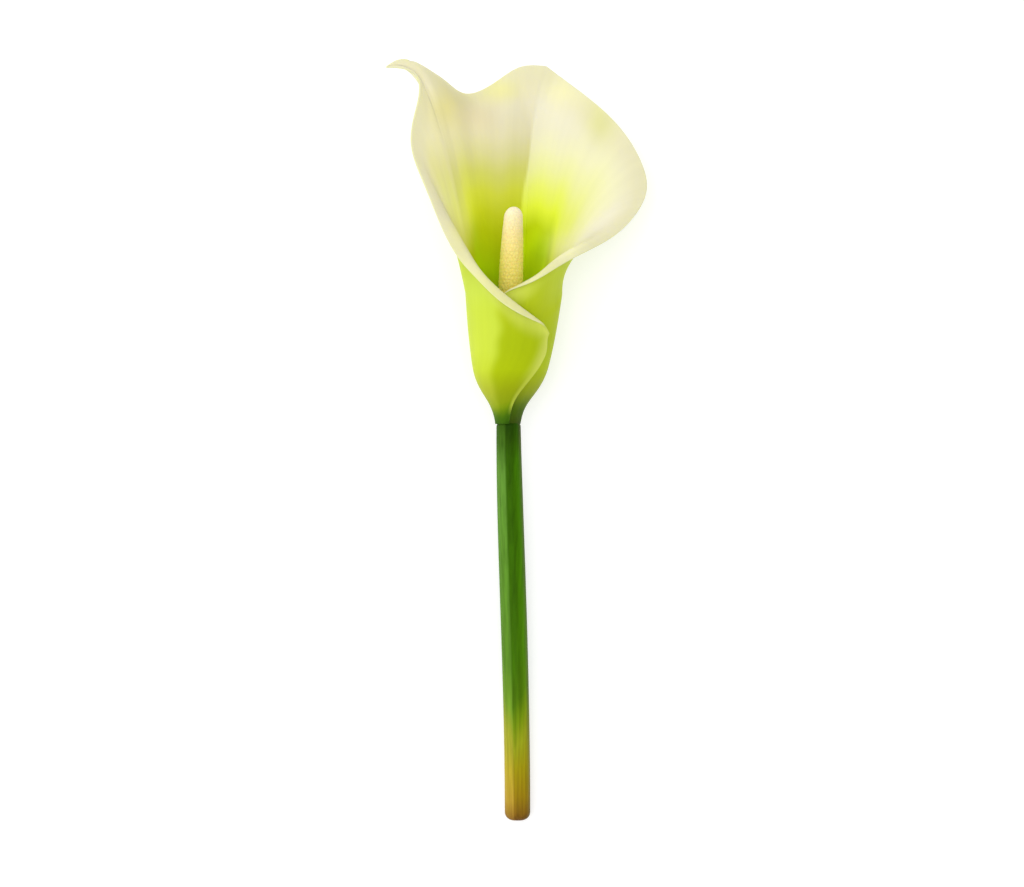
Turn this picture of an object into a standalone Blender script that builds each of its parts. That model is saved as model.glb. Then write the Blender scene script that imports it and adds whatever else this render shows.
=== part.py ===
"""A cut calla lily lying face up: its stem, its spathe and its spadix, each one closed solid.

Sizes are in millimetres and are drawn in Blender's metres. +X is the flower's right, +Y runs from the cut
end of the stem towards the bloom, and +Z is up from the surface that the flower lies on. The origin is on
that surface, under the middle of the flower. The three pieces meet at the neck, and the bloom's shape is
given from there: to the right of the neck, along the flower, and out to the front of the bloom's own axis.
"""

import math

import bpy
import numpy as np

MM = 0.001

# Driving dimensions.
STEM_LENGTH = 160.0
STEM_RADIUS = 5.1
NECK = np.array([-3.2, 7.1, 15.5])  # where stem, spathe and spadix meet
AXIS_LEAN = 0.045  # the bloom's axis leans to the right by this much for each millimetre along it
AXIS_RISE = 0.15  # and rises from the surface by this much
SPATHE_THICKNESS = 1.2
SPADIX_LENGTH = 86.5
CLEARANCE = 0.3  # between pieces that touch


def smooth(t):
    """0 to 1 with level ends, for t from 0 to 1."""
    t = np.clip(t, 0.0, 1.0)
    return t * t * (3.0 - 2.0 * t)


def spline(knots, values, at):
    """Values at the given places of the natural cubic curve through the values at the knots."""
    knots = np.asarray(knots, float)
    values = np.asarray(values, float).reshape(len(knots), -1)
    step = np.diff(knots)
    slope = np.diff(values, axis=0) / step[:, None]
    matrix = np.eye(len(knots))
    right = np.zeros_like(values)
    for i in range(1, len(knots) - 1):
        matrix[i, i - 1 : i + 2] = step[i - 1], 2 * (step[i - 1] + step[i]), step[i]
        right[i] = 6 * (slope[i] - slope[i - 1])
    bend = np.linalg.solve(matrix, right)
    at = np.asarray(at, float)
    i = np.clip(np.searchsorted(knots, at) - 1, 0, len(knots) - 2)
    b = ((at - knots[i]) / step[i])[:, None]
    a = 1 - b
    curved = (a**3 - a) * bend[i] + (b**3 - b) * bend[i + 1]
    return a * values[i] + b * values[i + 1] + curved * step[i][:, None] ** 2 / 6


def add_object(name, points, faces, colour, roughness):
    """A smooth-shaded object from points in millimetres, with a plain material of its own."""
    mesh = bpy.data.meshes.new(name)
    mesh.from_pydata((np.asarray(points) * MM).tolist(), [], faces)
    mesh.shade_smooth()
    material = bpy.data.materials.new(name)
    material.use_nodes = True
    shader = material.node_tree.nodes["Principled BSDF"]
    shader.inputs["Base Color"].default_value = (*colour, 1.0)
    shader.inputs["Roughness"].default_value = roughness
    mesh.materials.append(material)
    made = bpy.data.objects.new(name, mesh)
    bpy.context.scene.collection.objects.link(made)
    return made


def rod_faces(rings, sides):
    """Faces round a stack of rings of points, with a fan to a single point at each end."""
    faces = []
    for ring in range(rings - 1):
        for side in range(sides):
            low, low_next = ring * sides + side, ring * sides + (side + 1) % sides
            faces.append((low, low_next, low_next + sides, low + sides))
    first_tip, last_tip = rings * sides, rings * sides + 1
    last = (rings - 1) * sides
    for side in range(sides):
        after = (side + 1) % sides
        faces.append((first_tip, after, side))
        faces.append((last_tip, last + side, last + after))
    return faces


def rod_points(centres, radii, sides):
    """Upright rings of points round the line of centres, then the two end points. radii holds a row for each ring."""
    # A half step puts a side, and not a corner, underneath.
    angles = (np.arange(sides) + 0.5) * 2 * math.pi / sides
    ring = np.stack([np.sin(angles), np.zeros(sides), np.cos(angles)], axis=1)
    points = centres[:, None] + ring * radii[:, :, None]
    return np.concatenate([points.reshape(-1, 3), centres[:1], centres[-1:]])


# ---- Stem: one solid peduncle, bowed a little, rounded where it was cut.

STEM_BOW = 3.6  # how far right of the neck the cut end lies
STEM_END_SINK = 0.4  # how far the cut end is pressed flat by what it lies on
STEM_END_SLOPE = 0.03
STEM_TAPER = [(0.0, 4.85), (20.0, 5.1), (60.0, 5.3), (110.0, 5.2), (STEM_LENGTH, STEM_RADIUS)]
CUT_ROUNDING = 2.6
STEM_SIDES = 20
STEM_RINGS = 30


def stem_centres(below):
    """Points on the stem's centre line, at distances below the neck."""
    share = below / STEM_LENGTH
    end_height = STEM_RADIUS - STEM_END_SINK
    drop = NECK[2] - end_height
    start, end = AXIS_RISE * STEM_LENGTH, STEM_END_SLOPE * STEM_LENGTH
    fallen = start * share + (3 * drop - 2 * start - end) * share**2 + (start + end - 2 * drop) * share**3
    return NECK + np.stack([STEM_BOW * np.sin(share * math.pi / 2) ** 1.5, -below, -fallen], axis=1)


def make_stem():
    body = np.linspace(CLEARANCE, STEM_LENGTH - CUT_ROUNDING, STEM_RINGS)
    turn = np.radians([30.0, 55.0, 80.0])
    below = np.concatenate([body, STEM_LENGTH - CUT_ROUNDING * (1 - np.sin(turn))])
    radius = spline(*zip(*STEM_TAPER), below)[:, 0]
    radius[STEM_RINGS:] -= CUT_ROUNDING * (1 - np.cos(turn))
    points = rod_points(stem_centres(below)[::-1], np.repeat(radius[::-1, None], STEM_SIDES, axis=1), STEM_SIDES)
    points[:, 2] = np.maximum(points[:, 2], 0.0)
    rings = len(below)
    add_object("stem", points, rod_faces(rings, STEM_SIDES), (0.09, 0.2, 0.03), 0.45)


# ---- Spadix: one spike up the middle of the bloom, covered in florets.

SPADIX_LEAN = 0.03
SPADIX_FORWARD = 1.5  # how far the tip stands in front of the bloom's axis
SPADIX_TAPER = [(0.0, 2.2), (4.0, 2.7), (9.0, 4.0), (15.0, 4.7), (30.0, 4.9), (56.0, 4.7), (74.0, 4.25), (82.6, 3.95)]
FLORETS_AROUND = 12
FLORET_PITCH = 2.7
FLORET_HEIGHT = 0.3
BARE_TIP = 4.0
SPADIX_SIDES = 36
SPADIX_RINGS = 62


def spadix_centres(above):
    """Points on the spadix's centre line, at distances above the neck."""
    share = above / SPADIX_LENGTH
    return NECK + np.stack([SPADIX_LEAN * above, above, AXIS_RISE * above + SPADIX_FORWARD * share**2], axis=1)


def make_spadix():
    dome_start, dome_radius = SPADIX_TAPER[-1]
    body = np.linspace(SPADIX_TAPER[0][0], dome_start, SPADIX_RINGS)
    turn = np.radians([20.0, 40.0, 60.0, 80.0])
    above = np.concatenate([body, dome_start + (SPADIX_LENGTH - dome_start) * np.sin(turn) ** 1.15])
    radius = np.concatenate([spline(*zip(*SPADIX_TAPER), body)[:, 0], dome_radius * np.cos(turn)])
    around = (np.arange(SPADIX_SIDES) + 0.5) * 2 * math.pi / SPADIX_SIDES
    rows = math.pi * above[:, None] / FLORET_PITCH
    lattice = np.cos(FLORETS_AROUND * around / 2 + rows) * np.cos(FLORETS_AROUND * around / 2 - rows)
    foot, tip = smooth((above - 6) / 6), smooth((SPADIX_LENGTH - above) / BARE_TIP - 0.3)
    relief = FLORET_HEIGHT * (foot * tip)[:, None] * np.abs(lattice)
    points = rod_points(spadix_centres(above), radius[:, None] + relief, SPADIX_SIDES)
    add_object("spadix", points, rod_faces(len(above), SPADIX_SIDES), (0.85, 0.68, 0.2), 0.6)


# ---- Spathe: one leaf rolled into a funnel, its left margin lapped over its right one at the front.

# The tube's outer radius at heights above the neck.
TUBE_PROFILE = [(0.0, 4.85), (4.0, 5.6), (8.0, 7.2), (13.0, 10.6), (18.0, 13.5), (26.0, 15.8), (40.0, 18.0), (62.0, 20.3)]
THROAT = 66.0  # the height that the tube's ribs tend to, before they turn into the limb
LAP_STEP = (1.15, 2.1)  # between the middles of the two layers, at the neck and from LOOSE_AT up
LOOSE_AT = 8.0
LAP_FULL_AT = 32.0  # the height where the margins lap the most
INNER_MARGIN = (-5.0, -25.0)  # turn of the inner margin, in degrees, at the neck and at LAP_FULL_AT
OUTER_MARGIN = (361.0, 416.0)
LEAVING_SHARE = 0.38  # how far a rib follows the tube's wall before it turns away
# How far a rib is drawn out from the axis before it turns to the rim, at turns round the axis in degrees.
SPREAD = [(-25, 0), (40, 0), (78, -4.5), (120, 0), (200, 0), (236, 7), (262, 5), (300, 0), (340, 0), (410, 0)]
CREASE = (2.4, 8.0)  # depth and width of the fold along the midrib
MARGIN_THIN = 0.6  # the margin's thickness as a share of SPATHE_THICKNESS
PRESSED = 0.4  # the limb's back flattens on the surface over this height

# The rim, station by station: turn round the bloom's axis in degrees (0 front, 90 right, 180 back, 270
# left, 360 front again), then the edge's place to the right, along and to the front, and then how far from
# there, the same three ways, the leaf comes from as it bends to its edge.
RIGHT_RIM = [
    (-25, -5.0, 45.0, 14.8, 0.5, -6.0, 0.0),  # inner corner, under the flap
    (-10, -1.4, 51.6, 17.2, 0.0, -3.5, -2.0),
    (6, 5.2, 54.6, 20.4, -0.6, 3.0, -4.0),
    (21, 11.4, 57.2, 22.2, -1.2, 5.4, -3.0),  # right lip
    (36, 18.0, 61.2, 20.6, -2.6, 7.8, -2.4),
    (56, 26.8, 66.4, 13.4, -4.5, 8.8, -0.5),
    (74, 39.2, 73.2, 4.5, -8.5, 5.0, 2.0),
    (89, 49.6, 82.6, -5.0, -11.0, 1.5, 4.0),
    (101, 55.2, 94.4, -11.0, -12.0, -1.5, 5.0),  # right wing
    (112, 52.6, 106.0, -15.0, -9.5, -4.0, 5.0),
    (130, 41.6, 122.6, -23.0, -7.5, -8.0, 4.0),
    (148, 28.0, 134.8, -31.5, -6.5, -11.0, 4.0),
    (167, 15.2, 144.8, -38.2, -7.0, -13.0, 3.5),  # end of the midrib
]
TOP_RIM = [
    RIGHT_RIM[-1],
    (182, 5.2, 144.6, -37.4, -3.0, -12.5, 4.0),
    (196, -4.0, 139.2, -36.3, 1.5, -10.5, 6.0),
    (211, -16.0, 133.6, -36.5, 2.5, -9.0, 8.5),  # dip, rolled right back
    (222, -25.4, 138.0, -27.0, 4.9, -9.5, 8.0),
    (229, -32.1, 142.0, -19.0, 6.5, -10.0, 1.0),
    (234, -38.1, 144.9, -15.6, 10.0, -5.0, -1.4),
    (238, -43.5, 145.6, -15.2, 14.5, 0.0, -1.6),
    (241, -48.9, 142.7, -14.8, 19.0, 8.0, -1.4),  # hooked tip of the ear
]
LEFT_RIM = [
    TOP_RIM[-1],
    (243, -42.4, 142.2, -13.8, 11.0, 2.6, -1.0),
    (245, -36.8, 139.2, -12.8, 4.4, -2.0, -1.2),
    (248, -35.4, 134.0, -11.2, 3.0, -7.0, -2.2),
    (252, -36.8, 125.6, -9.0, 5.5, -8.5, -3.4),
    (259, -38.7, 112.5, -5.5, 8.0, -8.0, -3.6),  # left wing
    (270, -33.6, 96.0, -0.5, 9.5, -6.0, -2.0),
    (281, -27.6, 81.0, 6.5, 10.0, 1.0, -0.5),
    (298, -19.6, 65.8, 14.0, 7.2, 9.0, -1.0),
    (324, -11.4, 56.4, 21.8, 2.8, 9.0, -2.2),  # left lip
    (344, -4.0, 49.2, 24.0, 1.5, 9.8, -2.6),
    (365, 4.6, 43.6, 23.2, 1.0, 7.4, -3.0),
    (384, 10.4, 41.0, 20.6, 0.6, 3.4, -3.2),
    (397, 13.8, 39.2, 17.2, 0.3, 0.2, -2.0),
    (410, 16.0, 36.0, 13.2, -1.5, -3.0, -1.6),  # corner of the flap
]
COLUMNS = (28, 17, 29)  # grid columns on each stretch of rim
CROWDING = (0.5, 0.9, 0.4)  # 0 crowds the columns towards the start of their stretch and 1 towards its end
TUBE_ROWS, LIMB_ROWS = 11, 15


def tube_middle(turn_share, height):
    """The tube's middle surface, for shares 0 to 1 of the way from the inner to the outer margin."""
    opened = smooth(height / LAP_FULL_AT)
    first = INNER_MARGIN[0] + (INNER_MARGIN[1] - INNER_MARGIN[0]) * opened
    last = OUTER_MARGIN[0] + (OUTER_MARGIN[1] - OUTER_MARGIN[0]) * opened
    turn = np.radians(first + turn_share * (last - first))
    outer = spline(*zip(*TUBE_PROFILE), height.ravel())[:, 0].reshape(height.shape)
    lapped = smooth((turn_share - 0.15) / 0.15) + smooth((turn_share - 0.62) / 0.18) - 1
    step = LAP_STEP[0] + (LAP_STEP[1] - LAP_STEP[0]) * smooth(height / LOOSE_AT)
    radius = outer - SPATHE_THICKNESS / 2 + lapped * step / 2
    return np.stack([AXIS_LEAN * height + radius * np.sin(turn), height, radius * np.cos(turn)], axis=-1)


def rim_columns():
    """(stations, lengths) of the grid's columns: rows of rim values, and the distance along the rim."""
    stations, lengths, start = [], [], 0.0
    for rim, count, crowding in zip((RIGHT_RIM, TOP_RIM, LEFT_RIM), COLUMNS, CROWDING):
        rim = np.array(rim, float)
        knots = np.concatenate([[0.0], np.cumsum(np.linalg.norm(np.diff(rim[:, 1:4], axis=0), axis=1))])
        even = np.linspace(0.0, 1.0, count + 1)
        at = knots[-1] * ((1 - crowding) * even**1.4 + crowding * (1 - (1 - even) ** 1.4))
        skip = 1 if stations else 0
        stations.append(spline(knots, rim, at)[skip:])
        lengths.append(start + at[skip:])
        start += knots[-1]
    return np.concatenate(stations), np.concatenate(lengths)


def unit(vectors):
    return vectors / np.linalg.norm(vectors, axis=-1, keepdims=True)


def spathe_middle():
    """(grid, thickness share) of the spathe's middle surface: columns round the rim, rows from neck to rim."""
    stations, lengths = rim_columns()
    turn, edge, crest = stations[:, 0], stations[:, 1:4], stations[:, 1:4] + stations[:, 4:7]
    share = ((turn - turn[0]) / (turn[-1] - turn[0]))[:, None]
    top = THROAT * np.tanh(0.8 * edge[:, 1] / THROAT)[:, None]

    # Each rib follows the tube's wall up to its top, then a Bezier curve out to the rim.
    up_tube = np.linspace(0.0, 1.0, TUBE_ROWS + 1) ** 1.2
    tube = tube_middle(share, top * up_tube)
    leaves = tube_middle(share, top)[:, 0]
    heading = unit(leaves - tube_middle(share, top - 0.5)[:, 0])
    follows = leaves + heading * LEAVING_SHARE * np.linalg.norm(edge - leaves, axis=1)[:, None]
    turn = np.radians(stations[:, :1])
    follows += spline(*zip(*SPREAD), stations[:, 0]) * np.concatenate([np.sin(turn), 0 * turn, np.cos(turn)], axis=1)
    t = (np.linspace(0.0, 1.0, LIMB_ROWS + 1)[1:] ** 0.9)[None, :, None]
    limb = (
        (1 - t) ** 3 * leaves[:, None]
        + 3 * (1 - t) ** 2 * t * follows[:, None]
        + 3 * (1 - t) * t**2 * crest[:, None]
        + t**3 * edge[:, None]
    )

    grid = np.concatenate([tube, limb], axis=1)

    # The fold along the midrib, deepest in the limb, pushes the back further back.
    midrib = lengths[COLUMNS[0]]
    depth, width = CREASE
    fold = np.exp(-np.abs(lengths - midrib) / width)[:, None]
    rows = np.linspace(0.0, 1.0, grid.shape[1])
    grid[..., 2] -= depth * fold * smooth((rows - 0.25) / 0.3) * (1 - 0.6 * smooth((rows - 0.85) / 0.15))

    from_edge = np.minimum(lengths, lengths[-1] - lengths)[:, None]
    from_edge = np.minimum(from_edge, np.linalg.norm(grid - grid[:, -1:], axis=2))
    thickness = SPATHE_THICKNESS * (MARGIN_THIN + (1 - MARGIN_THIN) * smooth(from_edge / 7.0))
    grid = grid + NECK
    grid[..., 2] += AXIS_RISE * (grid[..., 1] - NECK[1])
    return grid, thickness


def spathe_skins():
    """(outer, inner) grids of points: the spathe's two faces, flattened where the surface holds its back."""
    grid, thickness = spathe_middle()
    outward = unit(np.cross(np.gradient(grid, axis=0), np.gradient(grid, axis=1)))
    outer = grid + outward * thickness[..., None] / 2
    inner = grid - outward * thickness[..., None] / 2
    outer[:, 0, 1] = inner[:, 0, 1] = NECK[1]
    height = outer[..., 2]
    held = np.where(height < -PRESSED, 0.0, (height + PRESSED) ** 2 / (4 * PRESSED))
    lift = np.where(height < PRESSED, held - height, 0.0)
    outer[..., 2] += lift
    inner[..., 2] += lift
    return outer, inner


def make_spathe():
    outer, inner = spathe_skins()
    columns, rows = outer.shape[:2]
    count = columns * rows
    faces = []
    for column in range(columns - 1):
        for row in range(rows - 1):
            a = column * rows + row
            b, c, d = a + rows, a + rows + 1, a + 1
            faces += [(a, b, c), (a, c, d), (a + count, c + count, b + count), (a + count, d + count, c + count)]
    neck = [column * rows for column in range(columns)]
    rim = [column * rows + rows - 1 for column in range(columns)]
    loop = neck + [neck[-1] + row for row in range(1, rows)] + rim[-2::-1] + list(range(rows - 2, -1, -1))
    for a, b in zip(loop, loop[1:]):
        faces += [(b, a, a + count), (b, a + count, b + count)]
    add_object("spathe", np.concatenate([outer.reshape(-1, 3), inner.reshape(-1, 3)]), faces, (0.86, 0.84, 0.6), 0.5)


def main():
    for old in list(bpy.data.objects):
        bpy.data.objects.remove(old)
    make_stem()
    make_spadix()
    make_spathe()


main()
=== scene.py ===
"""A cut calla lily lying face up on a white table, dressed round its CAD solids.

It is built as it grew: the stem, then the spathe that wraps round its top, then the spadix inside. Sizes
are in millimetres, +X is the flower's right, +Y runs from the cut end to the bloom and +Z is up.
"""

import math

import bpy
import numpy as np
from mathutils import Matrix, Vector

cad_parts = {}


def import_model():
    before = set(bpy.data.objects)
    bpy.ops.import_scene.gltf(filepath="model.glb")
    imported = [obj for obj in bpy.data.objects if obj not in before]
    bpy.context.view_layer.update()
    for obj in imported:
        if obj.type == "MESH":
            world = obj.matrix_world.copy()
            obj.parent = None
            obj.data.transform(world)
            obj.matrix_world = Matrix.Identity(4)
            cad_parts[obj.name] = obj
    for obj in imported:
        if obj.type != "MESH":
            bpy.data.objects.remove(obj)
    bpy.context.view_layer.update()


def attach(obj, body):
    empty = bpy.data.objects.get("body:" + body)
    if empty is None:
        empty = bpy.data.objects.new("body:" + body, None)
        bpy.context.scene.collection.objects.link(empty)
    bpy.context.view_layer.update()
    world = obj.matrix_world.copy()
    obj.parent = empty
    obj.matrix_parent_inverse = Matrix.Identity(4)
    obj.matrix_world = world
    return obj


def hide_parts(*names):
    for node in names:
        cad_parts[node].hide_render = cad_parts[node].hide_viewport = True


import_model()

MM = 0.001
NECK = np.array([-3.2, 7.1, 15.5])  # where stem, spathe and spadix meet
AXIS_RISE = 0.15  # the bloom's axis rises by this much for each millimetre along it


# ---- Stem: a solid, juicy stalk, cut square and gone soft and brown at the cut.
# It is drawn as one round bar along a bowed line, with faint ribs, and its top goes up inside the spathe.

STEM_LENGTH = 160.0
STEM_RADIUS = 5.1
STEM_BOW = 3.6  # how far right of the neck the cut end lies
STEM_END_SINK = 0.4  # how far the cut end is pressed flat by what it lies on
STEM_END_SLOPE = 0.03
STEM_TAPER = [(0.0, 4.85), (20.0, 5.1), (60.0, 5.3), (110.0, 5.2), (STEM_LENGTH, STEM_RADIUS)]
STEM_TOP = -4.0  # places on the stem are counted down from the neck, so its top is up inside the spathe
TOP_NARROWING = 1.6  # how much thinner it gets in there
CUT_ROUNDING = 3.4  # how far from the cut end its edge starts to round
CUT_RINGS = 14
STEM_SIDES = 96
STEM_RINGS = 300
RIB_HEIGHT = 0.07
RIB_COUNTS = (5, 8, 13, 21, 34)  # ribs round the stem, coarse ones to fine ones


def smooth(t):
    """0 to 1 with level ends, for t from 0 to 1."""
    t = np.clip(t, 0.0, 1.0)
    return t * t * (3.0 - 2.0 * t)


def past(place, start, reach):
    """0 up to the start and then smoothly up to 1, within the reach."""
    return smooth((place - start) / reach)


def before(place, end, reach):
    """1 well before the end and smoothly down to 0 at it, within the reach."""
    return smooth((end - place) / reach)


def spline(knots, values, at):
    """Values at the given places of the natural cubic curve through the values at the knots."""
    knots = np.asarray(knots, float)
    values = np.asarray(values, float).reshape(len(knots), -1)
    step = np.diff(knots)
    slope = np.diff(values, axis=0) / step[:, None]
    matrix = np.eye(len(knots))
    right = np.zeros_like(values)
    for i in range(1, len(knots) - 1):
        matrix[i, i - 1 : i + 2] = step[i - 1], 2 * (step[i - 1] + step[i]), step[i]
        right[i] = 6 * (slope[i] - slope[i - 1])
    bend = np.linalg.solve(matrix, right)
    at = np.asarray(at, float)
    i = np.clip(np.searchsorted(knots, at) - 1, 0, len(knots) - 2)
    b = ((at - knots[i]) / step[i])[:, None]
    a = 1 - b
    curved = (a**3 - a) * bend[i] + (b**3 - b) * bend[i + 1]
    return a * values[i] + b * values[i + 1] + curved * step[i][:, None] ** 2 / 6


def rod_faces(rings, sides):
    """Faces round a stack of rings of points, with a fan to a single point at each end."""
    ring, side = np.meshgrid(np.arange(rings - 1), np.arange(sides), indexing="ij")
    low, after = ring * sides + side, ring * sides + (side + 1) % sides
    walls = np.stack([low, after, after + sides, low + sides], axis=-1).reshape(-1, 4)
    first_tip, last_tip, last = rings * sides, rings * sides + 1, (rings - 1) * sides
    faces = walls.tolist()
    for i in range(sides):
        j = (i + 1) % sides
        faces.append((first_tip, j, i))
        faces.append((last_tip, last + i, last + j))
    return faces


def side_turns(sides):
    """How far each side of a rod is turned from its top. A half step puts a side, not a corner, below."""
    return (np.arange(sides) + 0.5) * 2 * math.pi / sides


def rod_points(centres, radii, sides):
    """Upright rings of points round the line of centres, then the two end points. radii has a row a ring."""
    turns = side_turns(sides)
    ring = np.stack([np.sin(turns), np.zeros(sides), np.cos(turns)], axis=1)
    points = centres[:, None] + ring * radii[:, :, None]
    return np.concatenate([points.reshape(-1, 3), centres[:1], centres[-1:]])


def linear(code):
    """A colour from its six-figure web code, as the linear red, green and blue that Blender works in."""
    parts = np.array([int(code[i : i + 2], 16) for i in (0, 2, 4)]) / 255
    return np.where(parts <= 0.04045, parts / 12.92, ((parts + 0.055) / 1.055) ** 2.4)


def ramp(stops, at):
    """Colours at the given places, blended between (place, web code) stops."""
    places = [place for place, _ in stops]
    codes = np.array([linear(code) for _, code in stops])
    return np.stack([np.interp(at, places, codes[:, i]) for i in range(3)], axis=-1)


def mix(first, second, share):
    """The first colours, moved towards the second by a share at each point."""
    return first + (second - first) * np.asarray(share)[..., None]


def add_piece(name, points, faces, colours):
    """A smooth-shaded piece from points in millimetres, painted at its points."""
    mesh = bpy.data.meshes.new(name)
    mesh.from_pydata((np.asarray(points) * MM).tolist(), [], faces)
    mesh.shade_smooth()
    paint = mesh.color_attributes.new("paint", "FLOAT_COLOR", "POINT")
    rgba = np.concatenate([colours, np.ones((len(colours), 1))], axis=1)
    paint.data.foreach_set("color", rgba.astype(np.float32).ravel())
    made = bpy.data.objects.new(name, mesh)
    bpy.context.scene.collection.objects.link(made)
    return made


def add_material(piece, name):
    """A new node material on the piece: (its nodes, its links, the shader)."""
    material = bpy.data.materials.new(name)
    material.use_nodes = True
    piece.data.materials.append(material)
    nodes, links = material.node_tree.nodes, material.node_tree.links
    return nodes, links, nodes["Principled BSDF"]


def set_inputs(node, values):
    """Gives a node's inputs their values, by socket name."""
    for socket, value in values.items():
        node.inputs[socket].default_value = value


def add_node(nodes, kind, inputs, **properties):
    """A node with its inputs' values, by socket name, and its properties."""
    node = nodes.new(kind)
    for name, value in properties.items():
        setattr(node, name, value)
    set_inputs(node, inputs)
    return node


# Every skin of the flower has this grain: its paint darkens and lightens a little with a fine noise. The
# noise runs from Low to High, and the paint is scaled from Darkest to Lightest.
grain_tone = bpy.data.node_groups.new("grain tone", "ShaderNodeTree")
grain_tone.interface.new_socket("Paint", in_out="INPUT", socket_type="NodeSocketColor")
tone_sockets = {
    "Noise": "Value", "Low": "From Min", "High": "From Max", "Darkest": "To Min", "Lightest": "To Max",
}
for socket in tone_sockets:
    grain_tone.interface.new_socket(socket, in_out="INPUT", socket_type="NodeSocketFloat")
grain_tone.interface.new_socket("Color", in_out="OUTPUT", socket_type="NodeSocketColor")
into = grain_tone.nodes.new("NodeGroupInput")
out = grain_tone.nodes.new("NodeGroupOutput")
tones = grain_tone.nodes.new("ShaderNodeMapRange")
toned = add_node(grain_tone.nodes, "ShaderNodeVectorMath", {}, operation="SCALE")
for socket, target in tone_sockets.items():
    grain_tone.links.new(into.outputs[socket], tones.inputs[target])
grain_tone.links.new(into.outputs["Paint"], toned.inputs[0])
grain_tone.links.new(tones.outputs["Result"], toned.inputs["Scale"])
grain_tone.links.new(toned.outputs["Vector"], out.inputs["Color"])


def add_skin(nodes, links, shader, noise, grain, relief_noise, relief):
    """Leads the piece's own paint through the grain into the shader's colour, and the relief's noise into
    its normal. grain and relief hold the inputs' values."""
    paint = add_node(nodes, "ShaderNodeVertexColor", {}, layer_name="paint")
    toned = nodes.new("ShaderNodeGroup")
    toned.node_tree = grain_tone
    set_inputs(toned, grain)
    links.new(paint.outputs["Color"], toned.inputs["Paint"])
    links.new(noise, toned.inputs["Noise"])
    links.new(toned.outputs["Color"], shader.inputs["Base Color"])
    bump = add_node(nodes, "ShaderNodeBump", relief)
    links.new(relief_noise, bump.inputs["Height"])
    links.new(bump.outputs["Normal"], shader.inputs["Normal"])


cut_turn = np.radians(np.linspace(6, 88, CUT_RINGS))
below = np.concatenate([
    np.linspace(STEM_TOP, STEM_LENGTH - CUT_ROUNDING, STEM_RINGS),
    STEM_LENGTH - CUT_ROUNDING * (1 - np.sin(cut_turn)),
])
stem_radius = spline(*zip(*STEM_TAPER), below)[:, 0]
stem_radius -= TOP_NARROWING * before(below, 1.0, 3.5)
stem_radius[STEM_RINGS:] -= CUT_ROUNDING * (1 - np.cos(cut_turn))

# The stem's line leaves the neck at the bloom's slope, levels out towards the cut and bows to the right.
share = below / STEM_LENGTH
drop = NECK[2] - (STEM_RADIUS - STEM_END_SINK)
start_slope, end_slope = AXIS_RISE * STEM_LENGTH, STEM_END_SLOPE * STEM_LENGTH
fallen = (
    start_slope * share
    + (3 * drop - 2 * start_slope - end_slope) * share**2
    + (start_slope + end_slope - 2 * drop) * share**3
)
bowed = STEM_BOW * np.sin(np.clip(share, 0, 1) * math.pi / 2) ** 1.5
stem_line = NECK + np.stack([bowed, -below, -fallen], axis=1)

stem_turn = side_turns(STEM_SIDES)
rng = np.random.default_rng(7)
ribs = np.zeros(STEM_SIDES)
for count in RIB_COUNTS:
    ribs += RIB_HEIGHT / math.sqrt(count) * np.cos(count * stem_turn + rng.uniform(0, 2 * math.pi))
stem_radii = stem_radius[:, None] + ribs * past(stem_radius[:, None], 2, 2)
stem_points = rod_points(stem_line[::-1], stem_radii[::-1], STEM_SIDES)
stem_points[:, 2] = np.maximum(stem_points[:, 2], 0.0)

# Green that pales and yellows towards the cut, and browns at it. The green reaches 6 mm further along
# the top, just left of the crown, than down the sides, and its end is a little uneven.
turned = stem_turn[None, :]
stem_down = below[:, None] + 0 * turned
from_top = (turned - math.radians(345) + math.pi) % (2 * math.pi) - math.pi
lag = 6.0 * np.exp(-((from_top / 0.95) ** 2))
lag = lag + 1.5 * np.cos(3 * turned + 0.6) + 1.0 * np.cos(9 * turned + 2.0)
green_to_brown = stem_down - lag * past(stem_down, 60, 40) * (1 - past(stem_down, 128, 16))
stem_tone = ramp(
    [(-2, "1c3c02"), (6, "284902"), (14, "335e02"), (54, "366202"), (90, "3e6a04"), (106, "4c7208"),
     (114, "6c880c"), (124, "90981a"), (138, "988c0e"), (150, "927810"), (157, "7e5c16"), (160, "6c481a")],
    green_to_brown,
)
# A painted highlight, the soft light's reflection: the flank on the left of the stem's crown is paler, from
# just left of the crown over its left side.
highlight_flank = past(turned, math.radians(182), 0.6) * before(turned, math.radians(348), 0.16)
highlight_tone = ramp(
    [(0, "3c6014"), (8, "42691a"), (20, "639236"), (54, "60902e"), (92, "5c8828"), (108, "72982a"),
     (120, "a2a430"), (140, "b8a430"), (152, "b69634"), (160, "8c6428")],
    green_to_brown,
)
stem_tone = mix(stem_tone, highlight_tone, 0.85 * highlight_flank)
# The flank on the right is painted a brighter green above the yellow part, as painted fill light, and dull
# olive where it turns under, as painted shade.
fill_lit_flank = past(turned, math.radians(14), 0.6) * before(turned, math.radians(150), 0.8)
stem_tone = stem_tone * (1 + 0.6 * fill_lit_flank * before(stem_down, 125, 30))[..., None]
shaded_underside = past(turned, math.radians(44), 0.5) * before(turned, math.radians(150), 0.8)
stem_tone = mix(stem_tone, linear("5a5a2c"), 0.45 * shaded_underside)
stem_colours = np.concatenate([stem_tone[::-1].reshape(-1, 3), stem_tone[-1, :1], stem_tone[0, :1]])
stem = add_piece("stem_skin", stem_points, rod_faces(len(below), STEM_SIDES), stem_colours)

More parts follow.
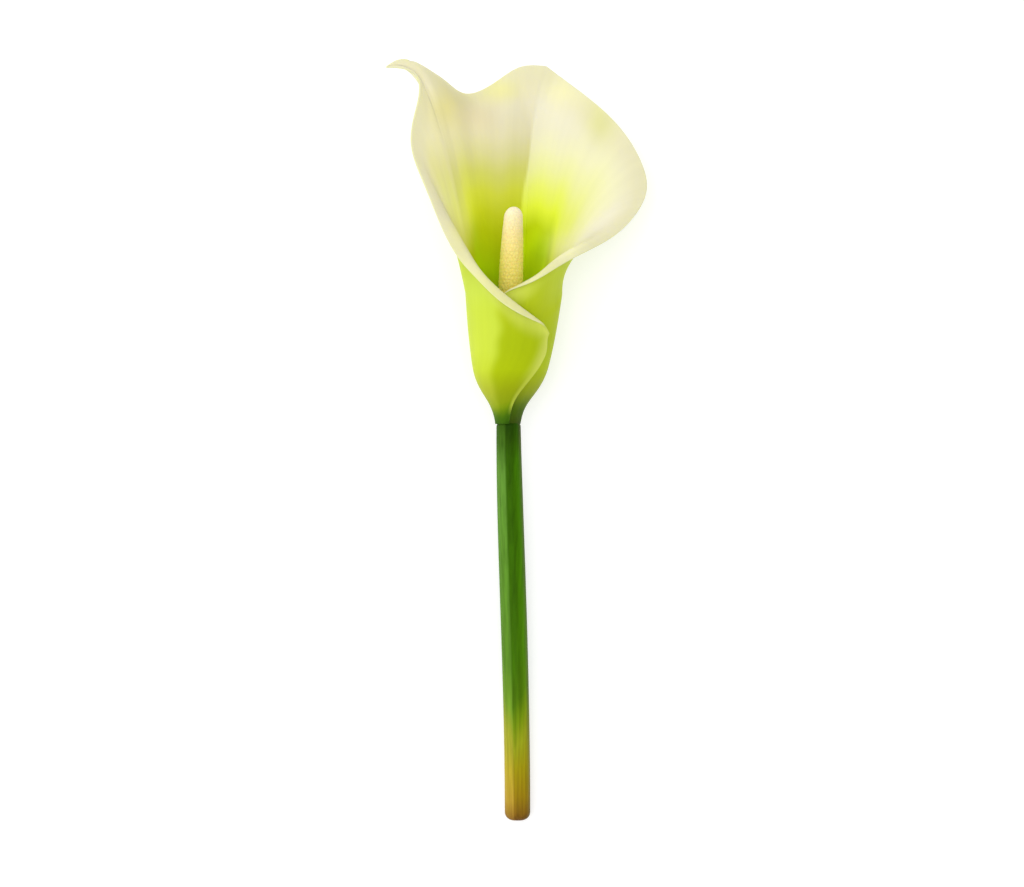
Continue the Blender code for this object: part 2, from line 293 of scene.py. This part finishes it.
# Its fibres run along it: a fine noise, stretched thirty times that way.
nodes, links, shader = add_material(stem, "stem")
place = nodes.new("ShaderNodeTexCoord")
stretch = add_node(nodes, "ShaderNodeMapping", {"Scale": (1.0, 0.03, 1.0)})
fibres = add_node(nodes, "ShaderNodeTexNoise", {"Scale": 900.0, "Detail": 3.0, "Roughness": 0.6})
links.new(place.outputs["Object"], stretch.inputs["Vector"])
links.new(stretch.outputs["Vector"], fibres.inputs["Vector"])
add_skin(
    nodes, links, shader,
    fibres.outputs["Fac"], {"Low": 0.3, "High": 0.7, "Darkest": 0.8, "Lightest": 1.16},
    fibres.outputs["Fac"], {"Strength": 0.25, "Distance": 0.0002},
)
set_inputs(shader, {
    "Roughness": 0.45,
    "Specular IOR Level": 0.03,
    "Subsurface Weight": 0.15,
    "Subsurface Radius": (0.6, 1.0, 0.25),
    "Subsurface Scale": 0.0015,
})
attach(stem, "root")
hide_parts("stem")


# ---- Spathe: one soft, waxy leaf rolled into a funnel, its left margin lapped over its right one.
# Ribs run from the neck up the tube and bend out to the rim, and both faces are drawn from them, with a
# round edge between. It is painted lime at the heart and cream at the margin, with the ribs' fine veins.

AXIS_LEAN = 0.045  # the bloom's axis leans to the right by this much for each millimetre along it
SPATHE_THICKNESS = 1.2
TUBE_PROFILE = [  # height up the tube and the radius of its outside there
    (0.0, 4.85), (4.0, 5.6), (8.0, 7.2), (13.0, 10.6), (18.0, 13.5), (26.0, 15.8), (40.0, 18.0), (62.0, 20.3),
]
THROAT = 66.0  # the height that the tube's ribs tend to, before they turn into the limb
LAP_STEP = (1.15, 2.1)  # between the middles of the two layers, at the neck and from LOOSE_AT up
LOOSE_AT = 8.0
LAP_FULL_AT = 32.0
INNER_MARGIN = (-5.0, -25.0)  # turn of the inner margin, in degrees, at the neck and at LAP_FULL_AT
OUTER_MARGIN = (361.0, 416.0)
LEAVING_SHARE = 0.38  # how far a rib follows the tube's wall before it turns away
SPREAD = [  # turn in degrees, and how much wider than the tube's wall the ribs lead there
    (-25, 0), (40, 0), (78, -4.5), (120, 0), (200, 0), (236, 7), (262, 5), (300, 0), (340, 0), (410, 0),
]
CREASE = (2.4, 8.0)  # depth and width of the fold along the midrib
MARGIN_THIN = 0.6  # the margin's thickness, as a share of the leaf's
MARGIN_WIDTH = 7.0  # the leaf thins over this much of its edge
PRESSED = 0.4  # how far the leaf flattens where it touches the surface

# The rim, station by station: turn round the bloom's axis in degrees (0 front, 90 right, 180 back, 270
# left, 360 front again), then the edge's place to the right, along and to the front, and then how far from
# there, the same three ways, the leaf comes from as it bends to its edge.
RIGHT_RIM = [
    (-25, -5.0, 45.0, 14.8, 0.5, -6.0, 0.0),  # inner corner, under the flap
    (-10, -1.4, 51.6, 17.2, 0.0, -3.5, -2.0),
    (6, 5.2, 54.6, 20.4, -0.6, 3.0, -4.0),
    (21, 11.4, 57.2, 22.2, -1.2, 5.4, -3.0),  # right lip
    (36, 18.0, 61.2, 20.6, -2.6, 7.8, -2.4),
    (56, 26.8, 66.4, 13.4, -4.5, 8.8, -0.5),
    (74, 39.2, 73.2, 4.5, -8.5, 5.0, 2.0),
    (89, 49.6, 82.6, -5.0, -11.0, 1.5, 4.0),
    (101, 55.2, 94.4, -11.0, -12.0, -1.5, 5.0),  # right wing
    (112, 52.6, 106.0, -15.0, -9.5, -4.0, 5.0),
    (130, 41.6, 122.6, -23.0, -7.5, -8.0, 4.0),
    (148, 28.0, 134.8, -31.5, -6.5, -11.0, 4.0),
    (167, 15.2, 144.8, -38.2, -7.0, -13.0, 3.5),  # end of the midrib
]
TOP_RIM = [
    RIGHT_RIM[-1],
    (182, 5.2, 144.6, -37.4, -3.0, -12.5, 4.0),
    (196, -4.0, 139.2, -36.3, 1.5, -10.5, 6.0),
    (211, -16.0, 133.6, -36.5, 2.5, -9.0, 8.5),  # dip, rolled right back
    (222, -25.4, 138.0, -27.0, 4.9, -9.5, 8.0),
    (229, -32.1, 142.0, -19.0, 6.5, -10.0, 1.0),
    (234, -38.1, 144.9, -15.6, 10.0, -5.0, -1.4),
    (238, -43.5, 145.6, -15.2, 14.5, 0.0, -1.6),
    (241, -48.9, 142.7, -14.8, 19.0, 8.0, -1.4),  # hooked tip of the ear
]
LEFT_RIM = [
    TOP_RIM[-1],
    (243, -42.4, 142.2, -13.8, 11.0, 2.6, -1.0),
    (245, -36.8, 139.2, -12.8, 4.4, -2.0, -0.9),
    (248, -35.4, 134.0, -11.2, 3.0, -7.0, -1.5),
    (252, -36.8, 125.6, -9.0, 5.5, -8.5, -2.4),
    (259, -38.7, 112.5, -5.5, 8.0, -8.0, -2.9),  # left wing
    (270, -33.6, 96.0, -0.5, 9.5, -6.0, -2.0),
    (281, -27.6, 81.0, 6.5, 10.0, 1.0, -0.5),
    (298, -19.6, 65.8, 14.0, 7.2, 9.0, -1.0),
    (324, -11.4, 56.4, 21.8, 2.8, 9.0, -2.2),  # left lip
    (344, -4.0, 49.2, 24.0, 1.5, 9.8, -2.6),
    (365, 4.6, 43.6, 23.2, 1.0, 7.4, -3.0),
    (384, 10.4, 41.0, 20.6, 0.6, 3.4, -3.2),
    (397, 13.8, 39.2, 17.2, 0.3, 0.2, -2.0),
    (410, 16.0, 36.0, 13.2, -1.5, -3.0, -1.6),  # corner of the flap
]
COLUMNS = (130, 80, 134)  # grid columns on each stretch of rim
CROWDING = (0.5, 0.9, 0.4)  # 0 crowds the columns towards the start of their stretch and 1 towards its end
CROWDING_POWER = 1.4
TUBE_ROWS, LIMB_ROWS = 48, 66
ROW_POWERS = (1.2, 0.9)  # these crowd the tube's rows towards the neck and the limb's towards the rim
TUBE_SHARE = 11 / 26  # the tube's share of the way up a rib, as the fold's depth counts it
EDGE_STEPS = 4  # strips of faces round the thickness of the margin
EDGE_BULGE = 0.8  # how far the margin's edge stands out, as a share of a half circle


def tube_middle(turn_share, height):
    """The tube's middle surface, for shares 0 to 1 of the way from the inner to the outer margin."""
    opened = smooth(height / LAP_FULL_AT)
    first = INNER_MARGIN[0] + (INNER_MARGIN[1] - INNER_MARGIN[0]) * opened
    last = OUTER_MARGIN[0] + (OUTER_MARGIN[1] - OUTER_MARGIN[0]) * opened
    turn = np.radians(first + turn_share * (last - first))
    outer = spline(*zip(*TUBE_PROFILE), height.ravel())[:, 0].reshape(height.shape)
    # -1 on the inner layer, 0 round the back and 1 on the flap.
    lapped = past(turn_share, 0.15, 0.15) + past(turn_share, 0.62, 0.18) - 1
    step = LAP_STEP[0] + (LAP_STEP[1] - LAP_STEP[0]) * smooth(height / LOOSE_AT)
    radius = outer - SPATHE_THICKNESS / 2 + lapped * step / 2
    return np.stack([AXIS_LEAN * height + radius * np.sin(turn), height, radius * np.cos(turn)], axis=-1)


def unit(vectors):
    """The vectors, each brought to a length of 1."""
    return vectors / np.linalg.norm(vectors, axis=-1, keepdims=True)


# The grid's columns: their stations on the rim, and how far along the rim they are.
stations, lengths, run = [], [], 0.0
for rim, count, crowding in zip((RIGHT_RIM, TOP_RIM, LEFT_RIM), COLUMNS, CROWDING):
    rim = np.array(rim, float)
    knots = np.concatenate([[0.0], np.cumsum(np.linalg.norm(np.diff(rim[:, 1:4], axis=0), axis=1))])
    even = np.linspace(0.0, 1.0, count + 1)
    to_start, to_end = even**CROWDING_POWER, 1 - (1 - even) ** CROWDING_POWER
    at = knots[-1] * ((1 - crowding) * to_start + crowding * to_end)
    skip = 1 if stations else 0
    stations.append(spline(knots, rim, at)[skip:])
    lengths.append(run + at[skip:])
    run += knots[-1]
stations, lengths = np.concatenate(stations), np.concatenate(lengths)

# Each rib follows the tube's wall up to its top, then a Bezier curve out to the rim.
edge, crest = stations[:, 1:4], stations[:, 1:4] + stations[:, 4:7]
across = ((stations[:, 0] - stations[0, 0]) / (stations[-1, 0] - stations[0, 0]))[:, None]
top = THROAT * np.tanh(0.8 * edge[:, 1] / THROAT)[:, None]
tube = tube_middle(across, top * np.linspace(0.0, 1.0, TUBE_ROWS + 1) ** ROW_POWERS[0])
leaves = tube_middle(across, top)[:, 0]
heading = unit(leaves - tube_middle(across, top - 0.5)[:, 0])
follows = leaves + heading * LEAVING_SHARE * np.linalg.norm(edge - leaves, axis=1)[:, None]
spread = spline(*zip(*SPREAD), stations[:, 0])
round_axis = np.radians(stations[:, :1])
follows += spread * np.concatenate([np.sin(round_axis), 0 * round_axis, np.cos(round_axis)], axis=1)
t = (np.linspace(0.0, 1.0, LIMB_ROWS + 1)[1:] ** ROW_POWERS[1])[None, :, None]
limb = (
    (1 - t) ** 3 * leaves[:, None]
    + 3 * (1 - t) ** 2 * t * follows[:, None]
    + 3 * (1 - t) * t**2 * crest[:, None]
    + t**3 * edge[:, None]
)
grid = np.concatenate([tube, limb], axis=1)

# The fold along the midrib, deepest in the limb, pushes the back further back.
from_midrib = lengths - lengths[COLUMNS[0]]
fold = np.exp(-np.abs(from_midrib) / CREASE[1])[:, None]
up_rib = np.concatenate([
    np.linspace(0.0, TUBE_SHARE, TUBE_ROWS + 1),
    np.linspace(TUBE_SHARE, 1.0, LIMB_ROWS + 1)[1:],
])
grid[..., 2] -= CREASE[0] * fold * past(up_rib, 0.25, 0.3) * (1 - 0.6 * past(up_rib, 0.85, 0.15))

# The leaf thins to its margin, and its two faces stand on either side of the grid.
rim_gap = np.linalg.norm(grid - grid[:, -1:], axis=2)
from_edge = np.minimum(np.minimum(lengths, lengths[-1] - lengths)[:, None], rim_gap)
thickness = SPATHE_THICKNESS * (MARGIN_THIN + (1 - MARGIN_THIN) * past(from_edge, 0, MARGIN_WIDTH))
bloom = grid.copy()  # places from the neck, for the paint
grid = grid + NECK
grid[..., 2] += AXIS_RISE * (grid[..., 1] - NECK[1])

outward = unit(np.cross(np.gradient(grid, axis=0), np.gradient(grid, axis=1)))
outer = grid + outward * thickness[..., None] / 2
inner = grid - outward * thickness[..., None] / 2
outer[:, 0, 1] = inner[:, 0, 1] = NECK[1]

# Where it would go under the surface, it is pressed flat there, with a soft start.
height = outer[..., 2]
held = np.where(height < -PRESSED, 0.0, (height + PRESSED) ** 2 / (4 * PRESSED))
lift = np.where(height < PRESSED, held - height, 0.0)
outer[..., 2] += lift
inner[..., 2] += lift
middle = (outer + inner) / 2

columns, rows = grid.shape[:2]
cell = np.arange(columns * rows).reshape(columns, rows)
a, b, c, d = cell[:-1, :-1], cell[1:, :-1], cell[1:, 1:], cell[:-1, 1:]
outer_faces = np.stack([a, b, c, d], axis=-1).reshape(-1, 4)
inner_faces = np.stack([a, d, c, b], axis=-1).reshape(-1, 4) + columns * rows
faces = outer_faces.tolist() + inner_faces.tolist()

# The margin's round edge goes from the outer face to the inner one through a half ellipse of points.
loop = np.concatenate([cell[:, 0], cell[-1, 1:], cell[-2::-1, -1], cell[0, -2:0:-1]])
flat_outer, flat_inner = outer.reshape(-1, 3), inner.reshape(-1, 3)
half = (flat_outer[loop] - flat_inner[loop]) / 2
along_loop = np.roll(flat_outer[loop], -1, axis=0) - np.roll(flat_outer[loop], 1, axis=0)
sideways = unit(np.cross(unit(half), along_loop)) * np.linalg.norm(half, axis=1)[:, None]
inwards = middle[np.clip(np.arange(columns), 1, columns - 2)][:, np.clip(np.arange(rows), 1, rows - 2)]
facing = np.einsum("ij,ij->i", sideways, inwards.reshape(-1, 3)[loop] - middle.reshape(-1, 3)[loop])
sideways *= -np.sign(facing)[:, None]
sideways[:columns] = 0.0  # the neck's end stays flat
edge_points = []
for i in range(1, EDGE_STEPS):
    angle = math.pi * i / EDGE_STEPS
    bulge = EDGE_BULGE * sideways * math.sin(angle)
    edge_points.append(middle.reshape(-1, 3)[loop] + half * math.cos(angle) + bulge)
first = 2 * columns * rows
layers = [loop] + [first + k * len(loop) + np.arange(len(loop)) for k in range(EDGE_STEPS - 1)]
layers.append(loop + columns * rows)
for near, far in zip(layers, layers[1:]):
    near_next, far_next = np.roll(near, -1), np.roll(far, -1)
    faces += np.stack([near_next, near, far, far_next], axis=1).tolist()
spathe_points = np.concatenate([flat_outer, flat_inner] + edge_points)
spathe_points[:, 2] = np.maximum(spathe_points[:, 2], 0.0)

# Paint. On the inside, lime in the throat fades through yellow to cream towards the rim and the sides. The
# ramps run over heart, which is the place up the bloom, moved on towards cream off the middle.
right, along = bloom[..., 0], bloom[..., 1]
wavy = 1.5 * np.sin(lengths * 0.11)[:, None] + 0.8 * np.sin(lengths * 0.31 + 1.0)[:, None]
off_right = np.maximum(right - 15.0 - 0.25 * (along - 70.0), 0.0)
off_left = np.maximum(-right - 13.5, 0.0)
to_right = np.minimum(4.0 * np.exp((70.0 - along) / 16.0), 8.0) * off_right
to_left = np.minimum(7.0 * np.exp((70.0 - along) / 13.0), 12.0) * off_left
heart = along + wavy + to_right + to_left

# The half on the right of the midrib is lighter, and so, by about a third, is the low left flank: partly
# painted light, as the light from the left falls on that half, and partly the leaf's own colour, whose lime
# reaches higher on the left half.
lit_and_paler_half = before(from_midrib[:, None], 1.0 + 4.0 * before(along, 112, 24), 2)
left_flank = before(right, -10, 14) * before(along, 104, 16)
lit_and_paler_half = np.maximum(lit_and_paler_half, 0.36 * left_flank)
inside = mix(
    ramp(
        [(0, "7c9a00"), (54, "aac600"), (62, "b6d500"), (70, "b5ca00"), (78, "bac702"), (86, "c2ca1d"),
         (94, "cacf3f"), (102, "cbcc68"), (110, "d3cf95"), (118, "dbd5b1"), (130, "e0dac2")],
        heart,
    ),
    ramp(
        [(0, "7c9a00"), (54, "b0d002"), (62, "bfdc04"), (70, "d0ec02"), (78, "c3d706"), (86, "e0ef3e"),
         (94, "e2ea70"), (102, "e3e5a0"), (110, "e5e3ba"), (118, "e3dfc5"), (130, "e4dfcb")],
        heart,
    ),
    lit_and_paler_half,
)
near_rim = before(rim_gap, 16, 14)
inside = mix(inside, ramp([(0, "dddba0"), (1, "ded9b8")], past(along, 50, 30)), near_rim)

# Faint tints: place, reach each way, colour and strength. Most change the leaf's own colour; three, marked,
# are painted light and shade.
for place_right, place_along, reach_right, reach_along, code, strength in (
    # Partly painted shade, on the ear's slope that faces away from the light, and partly a yellower tint.
    (-25.5, 127.0, 7.5, 9.5, "d2ca74", 0.65),
    # A painted shadow under the ridge that runs down from the dip.
    (-13.0, 124.0, 9.0, 7.0, "d6caa6", 0.6),
    (-3.0, 135.0, 8.0, 5.0, "e8e490", 0.6),
    (37.0, 121.0, 6.0, 10.0, "d2d28c", 0.7),
    # Painted light, lifting the shade in the hollow between the left margin and the throat.
    (-19.5, 79.0, 4.0, 9.0, "f0ee90", 0.5),
    (23.0, 70.0, 6.0, 7.0, "fffbc6", 0.55),
    (12.5, 69.0, 3.5, 6.0, "94b400", 0.5),
    (22.0, 134.0, 8.0, 6.0, "eeeab4", 0.5),
):
    away = ((right - place_right) / reach_right) ** 2 + ((along - place_along) / reach_along) ** 2
    inside = mix(inside, linear(code), strength * np.exp(-away))

# Painted light and shade: the left wing is painted brighter, as if it caught more light, and the low left
# margin a little darker.
painted_lit_left_wing = before(right, -7, 8) * past(along, 76, 12) * (1 - near_rim)
painted_shade_low_margin = before(right, -9, 5) * past(along, 60, 8) * before(along, 94, 8) * near_rim
inside = inside * (1 + 0.14 * painted_lit_left_wing - 0.08 * painted_shade_low_margin)[..., None]

# On the outside, dark green at the neck clears to lime up the tube. over is the place across the tube, -1
# at its left side and 1 at its right. The green ends a little sooner on the left, and climbs higher on the
# layer under the flap, where it is duller too.
over = (right - AXIS_LEAN * along) / np.interp(along, *zip(*TUBE_PROFILE))
inner_layer = before(across, 0.45, 0.1)
sooner = 1.3 * before(over, 0.1, 0.6) - 1.9 * past(over, -0.1, 0.4) * inner_layer
outside = ramp(
    [(-2, "244602"), (0, "264c02"), (2, "386002"), (4, "446c02"), (6, "5c7e02"), (8, "7c9602"),
     (10, "8c9e04"), (14, "97a502"), (22, "acbf04"), (34, "abbe0a"), (46, "b4c418"), (60, "bccd2a"),
     (90, "d0da78"), (120, "e2e3b0"), (140, "e7e3be")],
    along + sooner * (1 - past(along, 10, 20)),
)
outside = mix(outside, linear("4e5806"), 0.4 * inner_layer * before(along, 16, 8))

# The flap's margin shows as a light line near the neck: its own paler edge, with a painted highlight along
# it.
margin_edge_and_highlight = past(across, 0.972, 0.02) * past(along, 3, 6) * before(along, 34, 12)
outside = mix(outside, linear("ccd850"), 0.5 * margin_edge_and_highlight)

# Painted light: the left flank of the tube, which faces the light, is brighter, with an uneven boundary that
# leans left towards the neck.
uneven = 0.05 * np.sin(along * 0.21 + 1.0) + 0.03 * np.sin(along * 0.53)
boundary = -0.09 - 0.009 * (46.0 - along) + uneven
painted_light_flank = before(over, boundary, 0.3) * past(along, 3, 10) * before(along, 70, 20)
painted_light_tone = ramp(
    [(0, "8ca020"), (14, "b0ba28"), (22, "c4d533"), (30, "c9db40"), (46, "c6d942"), (60, "c6da50")],
    along,
)
outside = mix(outside, painted_light_tone, painted_light_flank)

# The outside pales towards the margin: yellow-green down on the tube, cream on the limb. The margin's own
# edge is cream too, with a greener stretch round the flap's corner, and takes the outside's green low down.
by_edge = before(from_edge, 10.5, 9) * past(along, 14, 14) * before(along, 60, 10)
outside = mix(outside, linear("d2dc60"), 0.85 * by_edge)
outside = mix(outside, linear("dedfb6"), before(from_edge, 4, 4) * past(along, 52, 12))
flap_corner = past(stations[:, :1], 388, 14) + 0 * along
edge_tone = mix(linear("dcdca8"), linear("c2ce54"), flap_corner)
edge_tone = mix(edge_tone, outside, 1 - past(along, 12, 20))
paints = [outside.reshape(-1, 3), inside.reshape(-1, 3)] + [edge_tone.reshape(-1, 3)[loop]] * (EDGE_STEPS - 1)
spathe = add_piece("spathe_leaf", spathe_points, faces, np.concatenate(paints))

# The veins' own coordinates: across the leaf in hundredths, and up the bloom in centimetres.
vein_place = np.stack([np.repeat(across * 100, rows, axis=1), along * 0.1, 0 * along], axis=-1)
vein_flat = vein_place.reshape(-1, 3)
vein_all = np.concatenate([vein_flat, vein_flat] + [vein_flat[loop]] * (EDGE_STEPS - 1))
veins_attribute = spathe.data.attributes.new("veins", "FLOAT_VECTOR", "POINT")
veins_attribute.data.foreach_set("vector", vein_all.astype(np.float32).ravel())

nodes, links, shader = add_material(spathe, "spathe")
place = add_node(nodes, "ShaderNodeAttribute", {}, attribute_name="veins")
fine = add_node(nodes, "ShaderNodeMapping", {"Scale": (1.3, 0.12, 1.0)})
broad = add_node(nodes, "ShaderNodeMapping", {"Scale": (0.3, 0.05, 1.0)})
fine_veins = add_node(nodes, "ShaderNodeTexNoise", {"Scale": 1.0, "Detail": 3.0, "Roughness": 0.55})
broad_veins = add_node(nodes, "ShaderNodeTexNoise", {"Scale": 1.0, "Detail": 2.0, "Roughness": 0.5})
both = add_node(nodes, "ShaderNodeMath", {}, operation="ADD")
links.new(place.outputs["Vector"], fine.inputs["Vector"])
links.new(place.outputs["Vector"], broad.inputs["Vector"])
links.new(fine.outputs["Vector"], fine_veins.inputs["Vector"])
links.new(broad.outputs["Vector"], broad_veins.inputs["Vector"])
links.new(fine_veins.outputs["Fac"], both.inputs[0])
links.new(broad_veins.outputs["Fac"], both.inputs[1])
add_skin(
    nodes, links, shader,
    both.outputs["Value"], {"Low": 0.7, "High": 1.3, "Darkest": 0.98, "Lightest": 1.018},
    fine_veins.outputs["Fac"], {"Strength": 0.12, "Distance": 0.0002},
)
set_inputs(shader, {
    "Roughness": 0.5,
    "Specular IOR Level": 0.08,
    "Subsurface Weight": 0.3,
    "Subsurface Radius": (1.0, 0.95, 0.35),
    "Subsurface Scale": 0.003,
})
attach(spathe, "root")
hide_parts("spathe")


# ---- Spadix: one fleshy spike standing in the throat, packed with tiny florets and dusted with pollen.
# The florets are domes on a staggered lattice wound round the spike, worn smooth at the blunt, paler tip.

SPADIX_LENGTH = 86.5
SPADIX_LEAN = 0.03  # it leans to the right by this much for each millimetre along it
SPADIX_FORWARD = 1.5  # how far the tip stands in front of the bloom's axis
SPADIX_BOW = 0.8  # it bows to the left by this much
SPADIX_TAPER = [  # height up the spike and its radius there, up to where the tip starts to round
    (0.0, 2.2), (4.0, 2.7), (9.0, 4.0), (15.0, 4.7), (30.0, 4.9), (56.0, 4.75), (74.0, 4.2), (82.2, 3.75),
]
SPADIX_SIDES = 180
SPADIX_RINGS = 420
TIP_RINGS = 26
FLORETS_AROUND = 20
FLORET_PITCH = 1.4  # from one row of florets to the next
FLORET_HEIGHT = 0.28
FLORET_ROOT = 0.05  # how deep the florets sit in the spike
FLORET_REACH = 0.62  # a floret's dome ends at this share of the pitch from its middle
FLORET_SHIFT = 0.24  # how far a floret may stray from its place in the lattice, as a share of the pitch

dome_start, dome_radius = SPADIX_TAPER[-1]
dome_turn = np.radians(np.linspace(4, 88, TIP_RINGS))
above = np.concatenate([
    np.linspace(0.0, dome_start, SPADIX_RINGS),
    dome_start + (SPADIX_LENGTH - dome_start) * np.sin(dome_turn),
])
spike_radius = np.concatenate([
    spline(*zip(*SPADIX_TAPER), above[:SPADIX_RINGS])[:, 0],
    dome_radius * np.cos(dome_turn),
])
spike_turn = side_turns(SPADIX_SIDES)
rng = np.random.default_rng(11)
floret_rows = int(SPADIX_LENGTH / FLORET_PITCH) + 4
jitter = rng.uniform(-FLORET_SHIFT, FLORET_SHIFT, (floret_rows, FLORETS_AROUND, 2))
vigour = rng.uniform(0.55, 1.0, (floret_rows, FLORETS_AROUND))

# Each point of the spike looks for its nearest floret and the one after it, in the lattice's own steps.
spike_up = above[:, None] + 0 * spike_turn
v = spike_up / FLORET_PITCH + 1.0
u = spike_turn / (2 * math.pi) * FLORETS_AROUND + 0 * spike_up
nearest = np.full(v.shape, np.inf)
second = np.full(v.shape, np.inf)
strength = np.zeros(v.shape)
for dv in (-1, 0, 1):
    row = np.clip(np.floor(v).astype(int) + dv, 0, floret_rows - 1)
    stagger = 0.5 * (row % 2)
    for du in (-1, 0, 1):
        column = np.floor(u - stagger).astype(int) + du
        around = column % FLORETS_AROUND
        centre_u = column + stagger + 0.5 + jitter[row, around, 0]
        centre_v = row + 0.5 + jitter[row, around, 1]
        gap = np.hypot(u - centre_u, v - centre_v)
        closer = gap < nearest
        second = np.where(closer, nearest, np.minimum(second, gap))
        strength = np.where(closer, vigour[row, around], strength)
        nearest = np.where(closer, gap, nearest)
dome = np.clip(1 - (nearest / FLORET_REACH) ** 2, 0, 1)
off_seam = past(second - nearest, 0, 0.25)
worn = past(spike_up, 4, 6) * (0.25 + 0.75 * before(spike_up, 84, 14)) * before(spike_up, SPADIX_LENGTH, 1.5)
bump = FLORET_HEIGHT * worn * strength * (0.65 * dome + 0.35 * off_seam)
up = above / SPADIX_LENGTH
sideways = SPADIX_LEAN * above - SPADIX_BOW * np.sin(0.8 * math.pi * up)
spike_line = NECK + np.stack([sideways, above, AXIS_RISE * above + SPADIX_FORWARD * up**2], axis=1)
spike_points = rod_points(spike_line, spike_radius[:, None] - FLORET_ROOT + bump, SPADIX_SIDES)

# Yellow with pollen below and cream at the tip, a little deeper in the grooves, and greener down the sides,
# where that tint is also painted light that lifts the shade at the spike's edges.
crown = ramp(
    [(0, "b9a43a"), (20, "e8d048"), (45, "fff072"), (58, "fbe87c"), (68, "f6e28a"), (76, "f6e4a0"),
     (82, "f8eabc"), (86, "faefcb")],
    spike_up,
)
groove = ramp([(0, "8a7a1c"), (45, "f2dc58"), (62, "f0da68"), (76, "f3de92"), (86, "f8e8bc")], spike_up)
spike_tone = mix(groove, crown, np.clip(0.15 + 0.85 * (0.6 * dome + 0.4 * off_seam), 0, 1))
greener_lit_sides = past(np.abs(np.sin(spike_turn)), 0.5, 0.45) * before(spike_up, 80, 16)
spike_tone = mix(spike_tone, linear("fcf860"), 0.5 * greener_lit_sides)
spike_colours = np.concatenate([spike_tone.reshape(-1, 3), spike_tone[0, :1], spike_tone[-1, :1]])
spadix = add_piece("spadix_spike", spike_points, rod_faces(len(above), SPADIX_SIDES), spike_colours)

nodes, links, shader = add_material(spadix, "spadix")
place = nodes.new("ShaderNodeTexCoord")
pollen = add_node(nodes, "ShaderNodeTexNoise", {"Scale": 1700.0, "Detail": 2.0, "Roughness": 0.6})
links.new(place.outputs["Object"], pollen.inputs["Vector"])
add_skin(
    nodes, links, shader,
    pollen.outputs["Fac"], {"Low": 0.3, "High": 0.7, "Darkest": 0.9, "Lightest": 1.08},
    pollen.outputs["Fac"], {"Strength": 0.3, "Distance": 0.0001},
)
set_inputs(shader, {
    "Roughness": 0.7,
    "Specular IOR Level": 0.15,
    "Subsurface Weight": 0.3,
    "Subsurface Radius": (1.0, 0.7, 0.25),
    "Subsurface Scale": 0.0015,
})
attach(spadix, "root")
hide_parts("spadix")


# ---- Table: a plain white surface under the flower.
# It glows a little, as a light table does, so that it stays white and the shadows on it stay faint.

TABLE_REACH = 3.0  # metres from the middle to each side
TABLE_DROP = 0.0002  # metres that it lies under the flower, so that the two don't share a plane

corners = [(x * TABLE_REACH, y * TABLE_REACH, 0.0) for x, y in ((-1, -1), (1, -1), (1, 1), (-1, 1))]
table_mesh = bpy.data.meshes.new("table")
table_mesh.from_pydata(corners, [], [(0, 1, 2, 3)])
table = bpy.data.objects.new("table", table_mesh)
bpy.context.scene.collection.objects.link(table)
_, _, shader = add_material(table, "table")
set_inputs(shader, {
    "Base Color": (0.6, 0.6, 0.6, 1.0),
    "Emission Color": (1.0, 1.0, 1.0, 1.0),
    "Emission Strength": 0.5,
    "Roughness": 0.9,
    "Specular IOR Level": 0.1,
})
table.location.z = -TABLE_DROP


# ---- Light and camera: a white room, a big soft light high on the left with a softer one from above, and a
# long lens looking straight down.

CAMERA_WIDTH = 0.4096  # metres across the view, at the camera's distance from the flower
CAMERA_FOCUS = (-0.0018, -0.0007, 0.022)  # the point that the camera looks at

scene = bpy.context.scene
scene.view_settings.view_transform = "Standard"
world = bpy.data.worlds.new("room")
scene.world = world
world.use_nodes = True
set_inputs(world.node_tree.nodes["Background"], {"Color": (1.0, 1.0, 1.0, 1.0), "Strength": 0.62})

# Each light's power, how many degrees of the sky it fills, and the way it shines.
for name, power, width, heading in (
    ("key", 1.1, 80.0, (1.0, -0.15, -1.0)),
    ("fill", 0.9, 50.0, (-0.1, -0.1, -1.0)),
):
    lamp = bpy.data.lights.new(name, "SUN")
    lamp.energy = power
    lamp.angle = math.radians(width)
    light = bpy.data.objects.new(name, lamp)
    scene.collection.objects.link(light)
    light.rotation_mode = "QUATERNION"
    light.rotation_quaternion = Vector(heading).to_track_quat("-Z", "Y")

lens = bpy.data.cameras.new("camera")
lens.lens = 150.0
lens.sensor_width = 36.0
camera = bpy.data.objects.new("camera", lens)
scene.collection.objects.link(camera)
camera_height = CAMERA_WIDTH * lens.lens / lens.sensor_width
camera.location = (CAMERA_FOCUS[0], CAMERA_FOCUS[1], CAMERA_FOCUS[2] + camera_height)
scene.camera = camera
